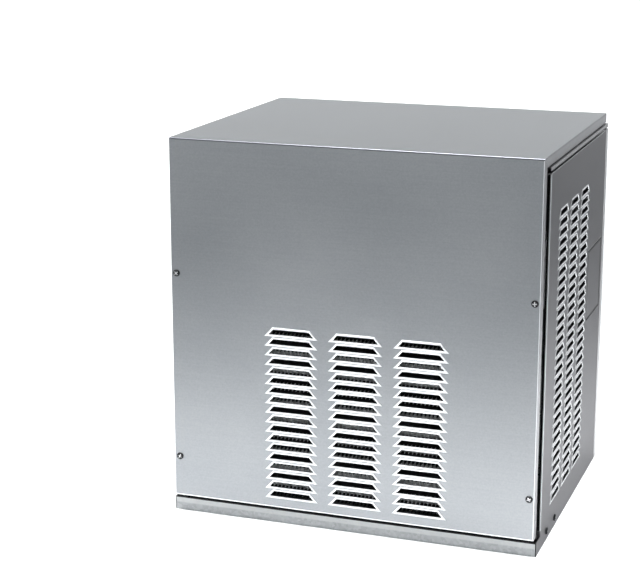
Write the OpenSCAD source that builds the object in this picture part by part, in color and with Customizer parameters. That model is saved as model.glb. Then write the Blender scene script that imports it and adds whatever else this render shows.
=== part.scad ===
// Flake ice machine: a louvred stainless cabinet that stands on an ice bin.
// Inside are a vertical auger evaporator with its gear drive, an air-cooled
// refrigerating set, a float reservoir and a control box.
// Millimetres. +Z is up, the louvred front faces -Y, and Z = 0 is the bin's top.

/* [Cabinet] */
// Width over the side panels
body_w = 560; // [540:1:640]
// Depth from the front sheet to the rear sheet
body_d = 460; // [440:1:560]
// Height to the top of the cover
body_h = 575; // [550:1:660]
// Sheet of the cover, the panels and the hatch
sheet = 1.2; // [0.8:0.1:1.6]
// Sheet of the base tray, posts, rails and brackets
frame_sheet = 1.5; // [1:0.1:2]
// Height of the base tray's flanges and of the panels' feet
plinth_h = 21; // [20:1:26]
// Set-back of the base tray behind the front sheet
plinth_setback = 5; // [3:0.5:8]
// Set-in of the cover behind the panels' outer faces
cover_inset = 3; // [2:0.5:5]
// Height of the cover's flange at the sides and the rear
cover_flange = 15; // [13:1:20]
// Depth of the cover's returns beside the front
cover_return = 16; // [12:1:20]
// Outside radius of the cover's bends
bend_r = 3; // [2:0.5:5]
// Open seam between a rail and its side panel
seam = 3; // [2:0.5:4]
// Open seam between the cover and a rail
rail_seam = 1.5; // [1:0.1:3]
// Open seam between the cover's front and the base tray
base_seam = 5; // [3:0.5:7]
// Set-back of the side panels' front edge
panel_setback = 30; // [26:1:36]
// Height of the rail that shows between the cover and a side panel
rail_lip = 5.5; // [5:0.5:9]
// Depth of the rear panel's side flanges
rear_flange = 18; // [14:1:24]

/* [Louvres] */
// Height of one louvre opening
louvre_h = 7.8; // [5:0.1:9]
// Angle that a blade is bent in from the sheet
louvre_angle = 68; // [45:1:75]
// Distance from one row to the next
louvre_pitch = 14.7; // [13.5:0.1:16]
// Run of the slanted end of a louvre
louvre_slant = 7; // [4:0.5:9]
// Width of a front louvre at its cut edge
front_louvre_w = 69; // [50:1:80]
// Distance between the front columns
front_louvre_gap = 98.5; // [90:0.5:110]
// Rows of front louvres
front_rows = 18; // [8:1:20]
// Columns of front louvres
front_cols = 3; // [1:1:4]
// Cut edge of the lowest front row above the bin
front_louvre_z = 43; // [38:0.5:60]
// Offset of the front louvres and the condenser to the right of the middle
condenser_x = 9; // [0:1:20]
// Width of a side louvre at its cut edge
side_louvre_w = 57.5; // [45:0.5:65]
// Distance between the side columns
side_louvre_gap = 78; // [72:0.5:86]
// Rows of side louvres
side_rows = 30; // [10:1:31]
// Columns of side louvres
side_cols = 3; // [1:1:3]
// Cut edge of the lowest side row above the bin
side_louvre_z = 50; // [40:0.5:60]
// Middle of the side louvres behind the front sheet
side_louvre_y = 203.5; // [195:0.5:215]

/* [Hatch and screws] */
// Length of the hatch opening
hatch_l = 106; // [80:1:110]
// Height of the hatch opening
hatch_h = 112; // [80:1:140]
// Rear edge of the hatch opening ahead of the rear sheet
hatch_from_rear = 27; // [26:1:34]
// Lower edge of the hatch opening above the bin
hatch_z = 266; // [200:1:300]
// Gap round the hatch
hatch_gap = 1.3; // [0.5:0.1:1.5]
// Shank diameter of the cabinet screws
screw_d = 3.5; // [3:0.1:4.2]
// Head diameter of the cabinet screws
screw_head_d = 10.5; // [8:0.5:11]
// Head height of the cabinet screws
screw_head_h = 2.6; // [2:0.1:3.5]
// Length of the screw shanks
screw_l = 9; // [7:0.5:12]
// Front screws from the panels' outer faces
front_screw_x = 11; // [9:0.5:14]
// Lower front screws above the bin
front_screw_low = 88; // [60:1:120]
// Upper front screws below the top
front_screw_high = 202; // [150:1:240]
// First side screw behind the front sheet
side_screw_y = 74; // [60:1:90]
// Distance between the two screws of a side
side_screw_gap = 55; // [40:1:70]

/* [Refrigerating set] */
// Width of the finned block
fin_w = 288; // [240:6:300]
// Height of the fins
fin_h = 264; // [230:1:280]
// Depth of the fins
fin_d = 44; // [40:1:50]
// Fins behind the front sheet
fin_front = 22; // [18:0.5:24]
// Distance between fins
fin_pitch = 6; // [4:1:12]
// Thickness of one fin
fin_t = 0.4; // [0.3:0.1:0.8]
// Outside diameter of the condenser tube
coil_d = 9.5; // [8:0.5:10]
// Levels of tube in the block
coil_levels = 10; // [4:1:10]
// Distance between levels
coil_pitch = 25.4; // [22:0.1:26]
// Distance between the two tube rows
coil_row = 22; // [20:0.5:24]
// Diameter swept by the fan
fan_d = 232; // [180:2:236]
// Depth of the fan shroud
shroud_d = 42; // [38:1:55]
// Diameter of the fan motor
fan_motor_d = 80; // [70:1:90]
// Length of the fan motor
fan_motor_l = 58; // [45:1:60]
// Room left beside and behind the compressor
comp_gap = 14; // [8:1:20]
// Length of the compressor's foot beyond the shell
comp_foot = 12; // [10:1:16]
// Height of the compressor shell
comp_h = 205; // [180:1:230]
// Compressor axis ahead of the rear sheet
comp_y_in = 115; // [106:1:125]
// Outside diameter of the refrigerant lines
line_d = 8; // [6:0.5:9]
// Diameter of the filter drier
drier_d = 30; // [24:1:34]
// Length of the filter drier
drier_l = 100; // [80:1:110]

/* [Ice making] */
// Evaporator axis from the left panel's outer face
evap_x_in = 150; // [148:1:156]
// Evaporator axis ahead of the rear sheet
evap_y_in = 112; // [106:1:125]
// Bore of the evaporator barrel
barrel_bore = 80; // [70:1:84]
// Wall of the barrel
barrel_wall = 6; // [4:0.5:7]
// Length of the barrel
barrel_l = 250; // [220:1:260]
// Thickness of the foam round the evaporator
foam_t = 18; // [12:1:20]
// Height of the gear housing
gear_h = 80; // [70:1:90]
// Distance from the auger to the drive motor
drive_gap = 127; // [124:1:130]
// Diameter of the drive motor
drive_d = 100; // [80:1:102]
// Length of the drive motor
drive_l = 130; // [100:1:150]
// Core diameter of the auger
auger_core = 46; // [36:1:50]
// Gap between the flight and the barrel
auger_gap = 0.8; // [0.5:0.1:1.5]
// Lead of the auger flight
auger_lead = 46; // [36:1:60]
// Diameter of the auger journals
journal_d = 24; // [20:1:26]
// Width of the ice chute
chute_w = 108; // [90:1:116]
// Depth of the ice chute
chute_d = 80; // [60:1:84]
// Wall of the plastic chute and spout
chute_wall = 3; // [2:0.5:4]

/* [Water and controls] */
// Width of the float reservoir
tank_w = 60; // [54:1:60]
// Length of the float reservoir
tank_l = 120; // [110:1:124]
// Height of the float reservoir
tank_h = 80; // [70:1:90]
// Floor of the reservoir above the bin
tank_z = 300; // [280:1:320]
// Wall of the reservoir
tank_wall = 2.5; // [2:0.5:3.5]
// Diameter of the water hoses
hose_d = 14; // [12:0.5:15]
// Thread diameter of the water inlet, three quarter inch
inlet_d = 26.4; // [20:0.1:27]
// Length that the water inlet stands out at the rear
inlet_out = 16; // [14:1:24]
// Outside diameter of the drain spigot
drain_d = 24; // [20:1:26]
// Cable diameter that the gland takes
gland_bore = 9; // [6:0.5:11]
// Length of the control box
box_l = 126; // [110:1:130]
// Width of the control box
box_w = 70; // [64:1:72]
// Height of the control box
box_h = 100; // [90:1:110]
// Floor of the control box above the bin
box_z = 340; // [330:1:360]

/* [Clearances] */
// Gap between pieces that are fitted together
fit = 0.3; // [0.2:0.05:0.5]
// Gap of a shaft, a pin or a tube in its bore
running = 0.05; // [0.02:0.01:0.1]

/* [Hidden] */
$fn = 48;
eps = 1;

// Cabinet planes: the part is centred on its box, screw heads and inlet included
front_y = -(body_d + inlet_out - screw_head_h) / 2;
rear_y = front_y + body_d;
side_x = body_w / 2;
cover_x = side_x - cover_inset;
cover_z = plinth_h + base_seam;
cover_d = body_d - cover_inset;
rail_top = body_h - cover_flange - rail_seam;
panel_top = rail_top - rail_lip - seam;
panel_end = body_d - rear_flange - fit;
base_x = side_x - sheet - fit;
floor_z = frame_sheet;
post_w = 18;
post_x = cover_x - sheet - fit - post_w;
post_d = panel_setback + 10;
rail_w = 30;
screw_hole = screw_d + 0.7;
pilot_hole = screw_d + 2 * running;

// Evaporator and drive
evap = [-side_x + evap_x_in, rear_y - evap_y_in];
drive = [evap[0] + drive_gap, evap[1] + 20];
gear_top = floor_z + gear_h;
gear_r = 62;
gear_rim = 6;
comp_rim = 4;
flange_r = barrel_bore / 2 + 12;
housing_h = 30;
barrel_z = gear_top + housing_h;
barrel_top = barrel_z + barrel_l;
jacket_r = barrel_bore / 2 + barrel_wall + 8;
flange_t = 8;
foam_r = jacket_r + fit + foam_t;
head_h = 30;
head_top = barrel_top + head_h;
journal_r = journal_d / 2;
bush_r = journal_r + 5;
bush_l = 24;
spout_h = 50;
spout_r = flange_r + 2;
duct_w = 86;
duct_h = 44;
chute_y1 = evap[1] - spout_r - 40;
chute_y0 = chute_y1 - chute_d;
chute_top = head_top + spout_h + 4;
// The two refrigerant stubs leave the evaporator at this angle from +X
stub_a = -45;
stub_end = foam_r + 10;
stub_low = barrel_z + 28;
stub_high = barrel_top - 26;

// Refrigerating set
fin_y = front_y + fin_front;
fin_z = 36;
rear_row_y = fin_y + fin_d / 2 + coil_row / 2;
coil_top = fin_z + fin_h / 2 + (coil_levels - 1) / 2 * coil_pitch;
coil_low = fin_z + fin_h / 2 - (coil_levels - 1) / 2 * coil_pitch;
coil_end = condenser_x + fin_w / 2 + 16;
shroud_y = fin_y + fin_d;
shroud_back = shroud_y + shroud_d;
shroud_x = fin_w / 2 + frame_sheet;
fan_z = fin_z + fin_h / 2;
fan_shaft_r = 4;
// The compressor fills the room between the gear housing and the right flange of the base
gear_end = drive[0] + drive_d / 2 + gear_rim;
comp_room = base_x - frame_sheet - gear_end - 2 * comp_gap;
comp_depth = 2 * (comp_y_in - sheet - fit - frame_sheet - comp_gap - comp_rim);
comp_d = min(comp_room - 2 * comp_foot, comp_depth);
comp = [gear_end + comp_gap + comp_room / 2, rear_y - comp_y_in];
comp_stub = comp_d / 2 - 22;
comp_z = floor_z + 21;
foot_t = 3;
line_x = comp[0] + comp_stub * cos(51);
discharge_xy = [line_x, comp[1] - comp_stub * sin(51)];
suction_xy = [comp[0] - comp_stub * cos(20), comp[1] - comp_stub * sin(20)];
stub_top = comp_z + comp_h + 16;
drier_y = front_y + 90;
cross_y = drier_y + drier_l + 22;
valve_r = stub_end + 26;
valve_xy = [evap[0] + valve_r * cos(stub_a), evap[1] + valve_r * sin(stub_a)];

// Water
tank_x = -side_x + sheet + 12 + tank_w / 2;
tank_y1 = rear_y - 30;
tank_y0 = tank_y1 - tank_l;
water_y = tank_y1 - 18;
overflow_y = tank_y1 - 34;
tank_top = tank_z + tank_h;
spigot_l = 15;
hose_end = tank_z - frame_sheet - spigot_l;
feed_z = gear_top + housing_h / 2;
supply_x = tank_x + tank_w / 2 + hose_d / 2 + 9;
inlet_z = 150;
drain_z = 62;
gland_x = side_x - 65;
gland_z = 120;
barb_in = 26;
collar = 2;
gland_d = 20;
pivot_z = tank_top - 24;
arm_l = 62;

// Control box
box_ear = frame_sheet;
box_x1 = post_x + frame_sheet + box_ear;
box_x0 = box_x1 - box_w;
box_y0 = front_y + post_d + fit;
lid_t = 1.5;
rocker_w = 13;
rocker_h = 21;
// Depth of the rocker's pivot behind the lid, and its tilt when off
pivot_in = 6;
rocker_tilt = 8;
switch_z = box_z + box_h / 2;
switch_x = box_x0 + box_w / 2;

// Colours
steel = "silver";
zinc = "lightgray";
copper = "peru";
dark = "dimgray";
white_plastic = "whitesmoke";

// Rectangle with rounded corners, its middle at the origin
module rounded(w, d, r) {
  square([w - 2 * r, d], center = true);
  square([w, d - 2 * r], center = true);
  for (x = [-1, 1], y = [-1, 1]) translate([x * (w / 2 - r), y * (d / 2 - r)]) circle(r);
}

// Rectangle on the X axis with its two upper corners rounded
module bent(w, h, r) {
  square([w, h - r]);
  translate([r, 0]) square([w - 2 * r, h]);
  for (x = [r, w - r]) translate([x, h - r]) circle(r);
}

// A profile drawn in depth and height, drawn out along X
module along_x(l) rotate([90, 0, 90]) linear_extrude(height = l, center = true) children();

// A flat sheet drawn in width and height: outer face at Y = 0, thickness inwards along +Y
module plate(t) translate([0, t, 0]) rotate([90, 0, 0]) linear_extrude(height = t) children();

// A rod along +Y from the origin
module rod_y(d, l) rotate([-90, 0, 0]) cylinder(d = d, h = l);

// A rod along +X from the origin
module rod_x(d, l) rotate([0, 90, 0]) cylinder(d = d, h = l);

// Turns the Z axis to a direction
module aim(v) {
  rotate([0, acos(v[2] / norm(v)), atan2(v[1], v[0])]) children();
}

// A round tube along points, with a bend of radius r at each inner point. As in bent tube the
// bends are a little thinner than the straight lengths, which reach into them.
lap = 0.5;
bend_loss = 0.1;
module tube_run(points, d, r) {
  n = len(points);
  dirs = [for (i = [0:n - 2]) (points[i + 1] - points[i]) / norm(points[i + 1] - points[i])];
  cuts = [for (i = [0:n - 1]) i == 0 || i == n - 1 ? 0 : r * tan(acos(dirs[i - 1] * dirs[i]) / 2)];
  for (i = [0:n - 2]) {
    a = points[i] + dirs[i] * (cuts[i] - (i > 0 ? lap : 0));
    b = points[i + 1] - dirs[i] * (cuts[i + 1] - (i < n - 2 ? lap : 0));
    translate(a) aim(dirs[i]) cylinder(d = d, h = norm(b - a));
  }
  for (i = [1:n - 2]) {
    turn = acos(dirs[i - 1] * dirs[i]);
    side = cross(cross(dirs[i - 1], dirs[i]), dirs[i - 1]);
    out = side / norm(side);
    axis = cross(dirs[i - 1], dirs[i]) / norm(cross(dirs[i - 1], dirs[i]));
    start = points[i] - dirs[i - 1] * cuts[i];
    m = [[-out[0], dirs[i - 1][0], axis[0], start[0] + out[0] * r],
         [-out[1], dirs[i - 1][1], axis[1], start[1] + out[1] * r],
         [-out[2], dirs[i - 1][2], axis[2], start[2] + out[2] * r], [0, 0, 0, 1]];
    multmatrix(m) rotate_extrude(angle = turn) translate([r, 0]) circle(d = d - bend_loss);
  }
}

// Places of the louvres in the sheet's plane: Z = 0 is the lowest cut edge
module at_louvres(cols, rows, gap) for (c = [0:cols - 1], r = [0:rows - 1])
  translate([(c - (cols - 1) / 2) * gap, r * louvre_pitch]) children();

// Openings of a louvre field in a sheet whose outer face is Y = 0. Their ends slant out to
// the longer cut edge at the bottom.
module louvre_openings(cols, rows, gap, w) translate([0, -eps, 0]) plate(sheet + 2 * eps)
  at_louvres(cols, rows, gap)
    polygon([[-w / 2, 0], [w / 2, 0], [w / 2 - louvre_slant, louvre_h], [louvre_slant - w / 2, louvre_h]]);

// Blades of a louvre field: each is the metal of its opening, cut at the bottom and the ends
// and bent in about its upper edge. One profile runs across each row and is cut to the blades.
module louvre_blades(cols, rows, gap, w) intersection() {
  d = louvre_h * [sin(louvre_angle), -cos(louvre_angle)];
  n = sheet * [cos(louvre_angle), sin(louvre_angle)];
  root = [0, louvre_h];
  heel = louvre_h + sheet * tan(louvre_angle / 2);
  along_x(cols * gap) for (r = [0:rows - 1]) translate([0, r * louvre_pitch])
    polygon([root, root + d, root + d + n, [sheet, heel], [sheet / 2, heel]]);
  translate([0, -eps, 0]) plate(d[0] + n[0] + 2 * eps) at_louvres(cols, rows, gap) {
    narrow = w / 2 - louvre_slant;
    polygon([[-w / 2, louvre_h + d[1]], [w / 2, louvre_h + d[1]], [narrow, louvre_h], [narrow, heel + eps],
      [-narrow, heel + eps], [-narrow, louvre_h]]);
  }
}

// Puts a sheet drawn with plate() on the right side, its X running back from the front
module on_right() translate([side_x, front_y, 0]) rotate([0, 0, 90]) children();
module on_left() mirror([1, 0, 0]) on_right() children();

// Places of the screws
module at_front_screws() for (x = [-1, 1], z = [front_screw_low, body_h - front_screw_high])
  translate([x * (side_x - front_screw_x), front_y, z]) children();
module at_side_screws() for (i = [0, 1])
  translate([side_screw_y + i * side_screw_gap, 0, plinth_h * 0.65]) children();
module at_rear_screws() {
  for (x = [-1, 0, 1]) translate([x * (side_x - 80), rear_y, plinth_h * 0.65]) children();
  for (x = [-1, 1])
    translate([x * side_x / 2, rear_y - cover_inset, body_h - (cover_flange + bend_r) / 2]) children();
}

// Base tray: one folded sheet with upright flanges, a lip at the front and the ice opening
module base_tray() color(zinc) difference() {
  y0 = front_y + plinth_setback;
  d = rear_y - sheet - fit - y0;
  union() {
    difference() {
      translate([-base_x, y0, 0]) cube([2 * base_x, d, plinth_h]);
      translate([-base_x + frame_sheet, y0 + frame_sheet, floor_z])
        cube([2 * (base_x - frame_sheet), d - 2 * frame_sheet, plinth_h]);
    }
    translate([-base_x, y0, plinth_h - frame_sheet]) cube([2 * base_x, fin_y - y0 - seam, frame_sheet]);
  }
  translate([evap[0], (chute_y0 + chute_y1) / 2, -eps])
    linear_extrude(height = 2 * eps + floor_z)
      rounded(chute_w + 2 * fit, chute_d + 2 * fit, 8 + fit);
  on_right() at_side_screws() rod_y(pilot_hole, 8);
  on_left() at_side_screws() rod_y(pilot_hole, 8);
  at_rear_screws() translate([0, -8, 0]) rod_y(pilot_hole, 8);
}

// Cover: front and top are one folded sheet with louvres, side flanges and a rear flange
module front_top_cover() color(steel) {
  h = body_h - cover_z;
  difference() {
    union() {
      translate([0, front_y, cover_z]) along_x(2 * cover_x) difference() {
        bent(cover_d, h, bend_r);
        translate([sheet, -eps]) bent(cover_d - 2 * sheet, h - sheet + eps, bend_r - sheet);
        translate([cover_d - sheet - eps, -eps]) square([sheet + 2 * eps, h - cover_flange + eps]);
      }
      for (s = [-1, 1]) translate([s * (cover_x - sheet / 2), front_y, cover_z])
        along_x(sheet) intersection() {
          bent(cover_d, h, bend_r);
          union() {
            square([cover_return, h]);
            translate([0, h - cover_flange]) square([cover_d, cover_flange]);
          }
        }
      translate([-post_x + 4, front_y + sheet / 2, cover_z]) cube([2 * post_x - 8, 10, sheet]);
    }
    translate([condenser_x, front_y, front_louvre_z])
      louvre_openings(front_cols, front_rows, front_louvre_gap, front_louvre_w);
    at_front_screws() translate([0, -eps, 0]) rod_y(screw_hole, sheet + 2 * eps);
    at_rear_screws() translate([0, -sheet - eps, 0]) rod_y(screw_hole, sheet + 2 * eps);
  }
  translate([condenser_x, front_y, front_louvre_z])
    louvre_blades(front_cols, front_rows, front_louvre_gap, front_louvre_w);
}

// One side panel with its foot under the cover, in the plane of the sheet
module side_sheet() {
  plate(sheet) {
    translate([panel_setback, 0]) square([panel_end - panel_setback, panel_top]);
    translate([plinth_setback, 0]) square([panel_setback, plinth_h]);
  }
  translate([panel_setback, 0, panel_top - sheet]) cube([panel_end - panel_setback, 9, sheet]);
  translate([panel_setback, 0, plinth_h]) cube([sheet, cover_inset + sheet, panel_top - plinth_h]);
  translate([panel_end - 4, sheet, plinth_h + seam])
    cube([rear_flange - 2, sheet, panel_top - plinth_h - 4 * seam]);
}

module right_side_panel() color(steel) on_right() {
  difference() {
    side_sheet();
    translate([side_louvre_y, 0, side_louvre_z])
      louvre_openings(side_cols, side_rows, side_louvre_gap, side_louvre_w);
    translate([body_d - hatch_from_rear - hatch_l, -eps, hatch_z])
      cube([hatch_l, sheet + 2 * eps, hatch_h]);
    at_side_screws() translate([0, -eps, 0]) rod_y(screw_hole, sheet + 2 * eps);
  }
  translate([side_louvre_y, 0, side_louvre_z])
    louvre_blades(side_cols, side_rows, side_louvre_gap, side_louvre_w);
}

module left_side_panel() color(steel) on_left() difference() {
  side_sheet();
  at_side_screws() translate([0, -eps, 0]) rod_y(screw_hole, sheet + 2 * eps);
}

// Rear panel: wraps round both sides and steps up behind the cover's rear flange
module rear_panel() color(steel) difference() {
  step_y = rear_y - cover_inset - 2 * sheet - fit;
  step_w = 2 * (side_x - rail_w - 6);
  union() {
    translate([-side_x, rear_y - sheet, 0]) cube([body_w, sheet, panel_top]);
    for (s = [-1, 1]) translate([s * (side_x - sheet / 2) - sheet / 2, rear_y - rear_flange, 0])
      cube([sheet, rear_flange, panel_top]);
    translate([-step_w / 2, step_y, panel_top - sheet]) cube([step_w, rear_y - step_y, sheet]);
    translate([-step_w / 2, step_y, panel_top - sheet])
      cube([step_w, sheet, body_h - 2 * sheet - seam - panel_top]);
  }
  at_rear_screws() {
    translate([0, -sheet - eps, 0]) rod_y(screw_hole, sheet + 2 * eps);
    translate([0, -8, 0]) rod_y(pilot_hole, 8);
  }
  for (h = [[supply_x, inlet_z, inlet_d + collar], [tank_x, drain_z, drain_d + collar],
      [gland_x, gland_z, gland_d]])
    translate([h[0], rear_y - sheet - eps, h[1]]) rod_y(h[2] + 2 * running, sheet + 2 * eps);
}

// Front post: an angle that the cover's front is screwed to
module right_post() color(zinc) difference() {
  h = rail_top - frame_sheet - plinth_h;
  union() {
    translate([post_x, front_y + sheet, plinth_h]) cube([post_w, frame_sheet, h]);
    translate([post_x, front_y + sheet, plinth_h]) cube([frame_sheet, post_d - sheet, h]);
  }
  at_front_screws() rod_y(pilot_hole, 8);
}
module left_post() mirror([1, 0, 0]) right_post();

// Top rail: a folded channel between post and rear panel, its lip flush with the side panel
module right_rail() color(zinc) {
  l = cover_d - panel_setback;
  translate([side_x - rail_w, front_y + panel_setback, 0]) {
    translate([0, 0, rail_top - frame_sheet]) cube([rail_w, l, frame_sheet]);
    translate([rail_w - frame_sheet, 0, rail_top - rail_lip]) cube([frame_sheet, l, rail_lip]);
    translate([0, 0, rail_top - 20]) cube([frame_sheet, l + cover_inset - sheet, 20]);
  }
}
module left_rail() mirror([1, 0, 0]) right_rail();

// Hatch: a tray that snaps into the side panel with two spring tabs
module access_hatch() color(steel) on_right() {
  l = hatch_l - 2 * hatch_gap;
  h = hatch_h - 2 * hatch_gap;
  translate([body_d - hatch_from_rear - hatch_l / 2, 0, hatch_z + hatch_h / 2]) {
    difference() {
      plate(9) square([l, h], center = true);
      translate([0, sheet, 0]) plate(9) square([l - 2 * sheet, h - 2 * sheet], center = true);
    }
    for (s = [-1, 1]) translate([-15, sheet, s * (h / 2 + 2) - 4]) cube([30, sheet, 8]);
  }
}

// A pan head screw along +Y, its head's seat at Y = 0
module screw() {
  rotate([-90, 0, 0]) {
    translate([0, 0, -screw_head_h]) rotate_extrude() intersection() {
      translate([0, screw_head_d * 0.9]) circle(r = screw_head_d * 0.9);
      square([screw_head_d / 2, screw_head_h]);
    }
    cylinder(d = screw_d, h = screw_l);
  }
}
module cabinet_screws() color(steel) {
  at_front_screws() screw();
  on_right() at_side_screws() screw();
  on_left() at_side_screws() screw();
  at_rear_screws() rotate([0, 0, 180]) screw();
}

// Condenser: fins on a tube that crosses between two rows and steps down level by level
module condenser_fins() color("gainsboro") {
  n = floor(fin_w / fin_pitch);
  for (i = [0:n - 1]) translate([condenser_x + (i - (n - 1) / 2) * fin_pitch, fin_y, fin_z])
    along_x(fin_t) difference() {
      square([fin_d, fin_h]);
      at_coil_2d() circle(d = coil_d + 2 * running);
    }
}
module at_coil_2d() for (k = [0:coil_levels - 1], r = [-1, 1])
  translate([fin_d / 2 + r * coil_row / 2, fin_h / 2 + (k - (coil_levels - 1) / 2) * coil_pitch]) children();

module condenser_tubes() color(copper) {
  half = fin_w / 2 + 6;
  mid_y = fin_y + fin_d / 2;
  for (k = [0:coil_levels - 1]) {
    z = coil_top - k * coil_pitch;
    // The last level's way out and the first level's way in are longer
    for (r = [-1, 1]) {
      free = r == 1 && (k == 0 || k == coil_levels - 1);
      translate([condenser_x - half, mid_y + r * coil_row / 2, z])
        rod_x(coil_d, free ? half + coil_end - condenser_x : 2 * half);
    }
    translate([condenser_x - half, mid_y, z]) rotate([0, 0, 90])
      rotate_extrude(angle = 180) translate([coil_row / 2, 0]) circle(d = coil_d);
    if (k < coil_levels - 1)
      translate([condenser_x + half, mid_y + (k % 2 == 0 ? -1 : 1) * coil_row / 2, z - coil_pitch / 2])
        rotate([90, 0, 0]) rotate([0, 0, -90])
          rotate_extrude(angle = 180) translate([coil_pitch / 2, 0]) circle(d = coil_d);
  }
}

// End plates: folded plates that the tubes pass through, with feet on the base tray
module condenser_end_plates() color(zinc) for (s = [0, 1]) translate([condenser_x, 0, 0]) mirror([s, 0, 0]) {
  translate([fin_w / 2 + frame_sheet / 2, fin_y, fin_z]) along_x(frame_sheet) difference() {
    translate([0, floor_z - fin_z]) square([fin_d, fin_h + fin_z - floor_z]);
    at_coil_2d() circle(d = coil_d + 2 * running);
  }
  translate([fin_w / 2, fin_y, floor_z]) cube([14, fin_d, frame_sheet]);
}

// Shroud: a sheet box behind the condenser with a rolled lip round the fan
module fan_shroud() color(zinc) difference() {
  ring = fan_d / 2 + 5;
  union() {
    translate([condenser_x - shroud_x, shroud_y, fin_z - frame_sheet]) difference() {
      cube([2 * shroud_x, shroud_d, fin_h + 2 * frame_sheet]);
      translate([frame_sheet, -frame_sheet, frame_sheet])
        cube([2 * shroud_x - 2 * frame_sheet, shroud_d, fin_h]);
    }
    translate([condenser_x, shroud_back - 14, fan_z]) rod_y(2 * (ring + frame_sheet), 14);
  }
  translate([condenser_x, shroud_y - eps, fan_z]) rod_y(2 * ring, shroud_d + 2 * eps);
}

// Bracket: a bar across the shroud that the fan motor is bolted to
module fan_bracket() color(zinc) translate([condenser_x, shroud_back, fan_z]) difference() {
  plate(2) {
    square([2 * shroud_x, 26], center = true);
    circle(d = fan_motor_d + 10);
  }
  translate([0, -eps, 0]) rod_y(30, 2 + 2 * eps);
  for (a = [45:90:315]) rotate([0, a, 0]) translate([fan_motor_d / 2 - 4, -eps, 0]) rod_y(5, 2 + 2 * eps);
}

module fan_motor() color(dark) translate([condenser_x, shroud_back + 2, fan_z]) rotate([-90, 0, 0])
  difference() {
    r = fan_motor_d / 2;
    rotate_extrude() polygon([[0, 0], [r, 0], [r, 14], [r - 4, 18], [r - 4, fan_motor_l - 10],
      [r - 12, fan_motor_l], [0, fan_motor_l]]);
    translate([0, 0, -eps]) cylinder(r = fan_shaft_r + running, h = 30 + eps);
  }

// Fan: five cambered blades on a hub, pressed on the motor's shaft
fan_y = shroud_back - 20;
module fan_shaft() color(steel) translate([condenser_x, fan_y - 8, fan_z])
  rod_y(2 * fan_shaft_r, shroud_back - fan_y + 40 - fit);
module blade() intersection() {
  linear_extrude(height = 60, center = true) difference() {
    intersection() {
      circle(d = fan_d);
      translate([0, -fan_d * 0.16]) square([fan_d, fan_d * 0.32]);
      translate([fan_d * 0.24, 0]) circle(d = fan_d * 0.56);
    }
    circle(d = 40);
  }
  rotate([20, 0, 0]) translate([0, 0, -130]) rotate([0, 90, 0]) linear_extrude(height = fan_d)
    difference() {
      circle(r = 131, $fn = 96);
      circle(r = 129.2, $fn = 96);
      translate([0, -140]) square([280, 280]);
    }
}
module fan_blade() color("gray") translate([condenser_x, fan_y, fan_z]) rotate([-90, 0, 0])
  difference() {
    union() {
      cylinder(d = 62, h = 16, center = true);
      for (a = [0:72:359]) rotate([0, 0, a]) blade();
    }
    cylinder(r = fan_shaft_r + running, h = 60, center = true);
  }

// Compressor: a welded hermetic shell on a foot plate
module at_feet() for (x = [-1, 1], y = [-1, 1])
  translate([comp[0] + x * (comp_d / 2 + comp_foot - 16), comp[1] + y * (comp_d / 2 - comp_foot - 16)])
    children();
module compressor() color("black") {
  r = comp_d / 2;
  translate([comp[0], comp[1], comp_z]) rotate_extrude() difference() {
    union() {
      intersection() {
        translate([0, comp_h / 2]) rounded(comp_d, comp_h, comp_d * 0.3);
        square([r, comp_h]);
      }
      translate([0, comp_h * 0.46]) square([r + comp_rim, 5]);
    }
    translate([-comp_d, -eps]) square([comp_d, comp_h + 2 * eps]);
  }
  translate([0, 0, comp_z]) linear_extrude(height = foot_t) difference() {
    translate(comp) rounded(comp_d + 2 * comp_foot, comp_d - 2 * comp_foot, 20);
    at_feet() circle(d = 18 + 2 * running);
  }
  for (p = [discharge_xy, suction_xy]) translate([p[0], p[1], comp_z + comp_h * 0.6])
    cylinder(d = line_d + 3, h = stub_top - comp_z - comp_h * 0.6);
}
module compressor_grommets() color("black") at_feet() translate([0, 0, floor_z]) difference() {
  under = comp_z - floor_z - fit;
  over = comp_z - floor_z + foot_t + fit;
  rotate_extrude() polygon([[0, 0], [15, 0], [13, under], [9, under], [9, over], [13, over],
    [12, over + 8 - fit], [0, over + 8 - fit]]);
  translate([0, 0, -eps]) cylinder(d = 8 + 2 * running, h = 60);
}
module compressor_studs() color(steel) at_feet() {
  top = comp_z + foot_t + 8;
  translate([0, 0, floor_z]) cylinder(d = 8, h = top - floor_z + 12);
  translate([0, 0, top]) cylinder(d = 20, h = 1.6);
  translate([0, 0, top + 1.6]) cylinder(d = 13 / cos(30), h = 6.5, $fn = 6);
}
module compressor_terminal_cover() color(dark) difference() {
  translate([comp[0], comp[1] - comp_d / 2 - 19, comp_z + comp_h * 0.66]) rotate([90, 0, 0])
    linear_extrude(height = 66, center = true) rounded(62, 56, 8);
  translate([comp[0], comp[1], 0]) cylinder(r = comp_d / 2 + fit, h = body_h);
}

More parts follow.
